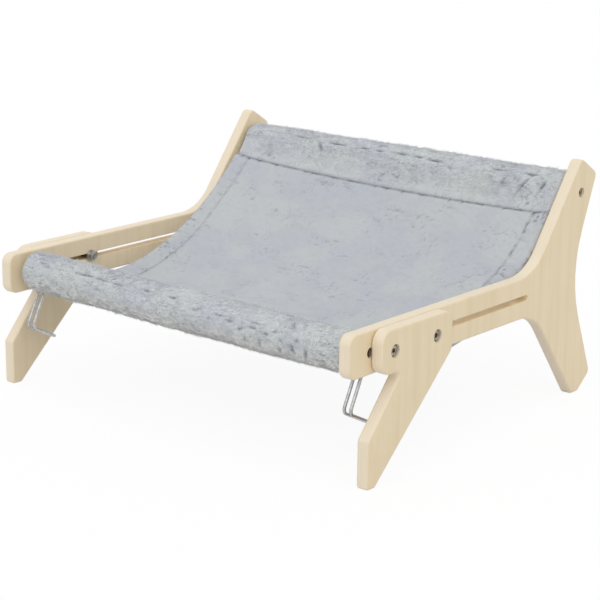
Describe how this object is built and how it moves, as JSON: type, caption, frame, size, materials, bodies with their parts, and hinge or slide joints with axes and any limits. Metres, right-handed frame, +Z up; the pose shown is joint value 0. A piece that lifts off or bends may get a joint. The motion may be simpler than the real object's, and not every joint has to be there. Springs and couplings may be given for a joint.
{
  "type": "cat radiator hammock",
  "caption": "Plush sling on round rods between two plywood side panels, with sliding front legs and swinging wire hooks for a radiator edge.",
  "frame": {"origin": "on the floor, under the middle of the whole bed", "axes": "+X to the right across the bed, -Y to the low front with the exposed roll, +Y to the high back, +Z up"},
  "size_m": [0.4432, 0.3752, 0.2273],
  "materials": {
    "plywood": "matt birch plywood, long edges rounded",
    "rod_wood": "plain round bar",
    "plush": "short-pile plush",
    "long_plush": "longer, wrinkled plush",
    "bolt_steel": "zinc-plated",
    "wire": "plated wire",
    "insert_brass": "plain"
  },
  "bodies": {
    "frame": {"left_side_panel": "plywood", "right_side_panel": "plywood", "front_rod": "rod_wood", "rear_rod": "rod_wood", "rod_inserts": "insert_brass", "rod_bolts": "bolt_steel", "sling_panel": "plush", "front_sleeve": "long_plush", "rear_sleeve": "long_plush"},
    "left_leg": {"left_front_leg": "plywood", "left_leg_bolt": "bolt_steel", "left_hook_bolt": "bolt_steel", "left_leg_washers": "bolt_steel", "left_leg_nut": "bolt_steel", "left_hook_nut": "bolt_steel", "left_hook_bush": "bolt_steel"},
    "left_hook": {"left_hook": "wire"},
    "right_leg": {"right_front_leg": "plywood", "right_leg_bolt": "bolt_steel", "right_hook_bolt": "bolt_steel", "right_leg_washers": "bolt_steel", "right_leg_nut": "bolt_steel", "right_hook_nut": "bolt_steel", "right_hook_bush": "bolt_steel"},
    "right_hook": {"right_hook": "wire"}
  },
  "joints": [
    {"name": "left_leg_slide", "type": "slide", "parent": "frame", "child": "left_leg", "axis": [0, 1, 0], "range_m": [0, 0.153]},
    {"name": "left_hook_swing", "type": "hinge", "parent": "left_leg", "child": "left_hook", "pos_m": [-0.1924, -0.14215, 0.11275], "axis": [1, 0, 0], "range_deg": [-17, 80]},
    {"name": "right_leg_slide", "type": "slide", "parent": "frame", "child": "right_leg", "axis": [0, 1, 0], "range_m": [0, 0.153]},
    {"name": "right_hook_swing", "type": "hinge", "parent": "right_leg", "child": "right_hook", "pos_m": [0.1924, -0.14215, 0.11275], "axis": [1, 0, 0], "range_deg": [-17, 80]}
  ]
}
